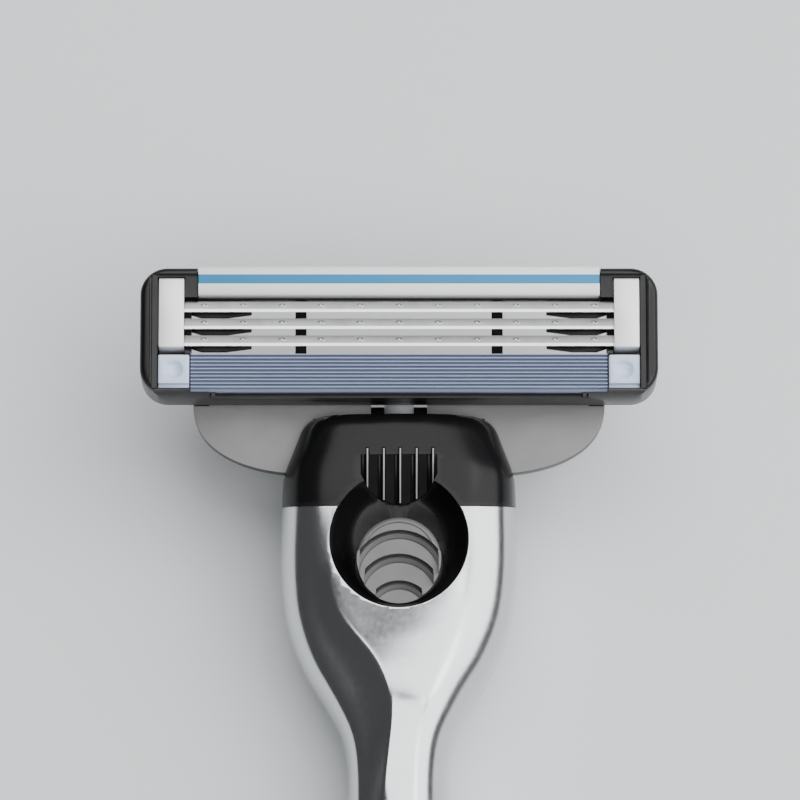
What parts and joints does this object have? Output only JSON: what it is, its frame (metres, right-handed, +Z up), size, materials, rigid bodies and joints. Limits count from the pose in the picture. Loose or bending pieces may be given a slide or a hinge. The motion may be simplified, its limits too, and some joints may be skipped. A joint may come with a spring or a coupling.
{
  "type": "cartridge razor",
  "caption": "Safety razor with a sculpted chrome handle, black collar, thumb release and a pivoting cartridge that slides off.",
  "frame": {"origin": "centre of the plan box at the height of the surface that the razor lies on, on its back", "axes": "+Y from the butt to the head, +Z up out of the blades, +X to the right seen from the front with the head up"},
  "size_m": [0.042, 0.1431, 0.0174],
  "materials": {
    "chrome": "bright chrome plating over cast metal, mirror-smooth",
    "collar_plastic": "black moulded plastic, satin",
    "cover_plastic": "black moulded plastic, fine texture",
    "grip_rubber": "black moulded rubber, matt, ribbed",
    "button_plastic": "mid-grey moulded plastic, fine texture",
    "slider_plastic": "dark grey moulded plastic",
    "spring_steel": "drawn steel wire",
    "plunger_plastic": "pale grey acetal plastic",
    "yoke_plastic": "mid-grey moulded plastic, flat satin faces",
    "housing_plastic": "black moulded plastic, satin, with a bright moulded edge line",
    "guard_rubber": "slate-blue soft rubber, pale tips",
    "pad_gel": "pale blue translucent soft plastic",
    "strip_white": "white water-soluble polymer, chalky",
    "strip_blue": "blue indicator stripe, chalky",
    "clip_aluminium": "pale anodised aluminium, fine grain",
    "blade_steel": "ground stainless steel, bright honed edge",
    "support_steel": "rolled stainless steel, dull"
  },
  "bodies": {
    "handle": {"handle_shell": "chrome", "docking_body": "collar_plastic", "mechanism_cover": "cover_plastic", "thumb_grip": "grip_rubber", "finger_grip": "grip_rubber", "button_spring": "spring_steel", "plunger_spring": "spring_steel"},
    "button": {"release_button": "button_plastic", "ejector_slider": "slider_plastic"},
    "plunger": {"plunger": "plunger_plastic"},
    "connector": {"connector_yoke": "yoke_plastic"},
    "blade_unit": {"blade_housing": "housing_plastic", "guard_fins": "guard_rubber", "guard_pad_left": "pad_gel", "guard_pad_right": "pad_gel", "lubricating_strip": "strip_white", "indicator_stripe": "strip_blue", "clip_left": "clip_aluminium", "clip_right": "clip_aluminium", "spring_fingers_1": "housing_plastic", "spring_fingers_2": "housing_plastic", "spring_fingers_3": "housing_plastic"},
    "blade_1": {"blade_1": "blade_steel", "blade_support_1": "support_steel"},
    "blade_2": {"blade_2": "blade_steel", "blade_support_2": "support_steel"},
    "blade_3": {"blade_3": "blade_steel", "blade_support_3": "support_steel"}
  },
  "joints": [
    {"name": "cartridge_eject", "type": "slide", "parent": "handle", "child": "connector", "axis": [0, 0.9903, 0.1392], "range_m": [0, 0.016]},
    {"name": "head_pivot", "type": "hinge", "parent": "connector", "child": "blade_unit", "pos_m": [0, 0.06344, 0.01206], "axis": [-1, 0, 0], "range_deg": [0, 41], "stiffness_Nm_per_rad": 0.0027, "springref_deg": -44.12},
    {"name": "plunger_slide", "type": "slide", "parent": "handle", "child": "plunger", "axis": [0, -0.9903, -0.1392], "range_m": [0, 0.0019], "deforming": ["plunger_spring"]},
    {"name": "button_slide", "type": "slide", "parent": "handle", "child": "button", "axis": [0, 0.9903, 0.1392], "range_m": [0, 0.003], "stiffness_N_per_m": 300, "springref_m": -0.002, "deforming": ["button_spring"]},
    {"name": "blade_1_float", "type": "slide", "parent": "blade_unit", "child": "blade_1", "axis": [0, 0.1392, -0.9903], "range_m": [0, 0.0003], "stiffness_N_per_m": 1000, "springref_m": -0.0002, "deforming": ["spring_fingers_1"]},
    {"name": "blade_2_float", "type": "slide", "parent": "blade_unit", "child": "blade_2", "axis": [0, 0.1392, -0.9903], "range_m": [0, 0.0003], "stiffness_N_per_m": 1000, "springref_m": -0.0002, "deforming": ["spring_fingers_2"]},
    {"name": "blade_3_float", "type": "slide", "parent": "blade_unit", "child": "blade_3", "axis": [0, 0.1392, -0.9903], "range_m": [0, 0.0003], "stiffness_N_per_m": 1000, "springref_m": -0.0002, "deforming": ["spring_fingers_3"]}
  ],
  "couplings": [
    {"joint": "plunger_slide", "follows": "head_pivot", "m_per_rad": 0.0026}
  ]
}
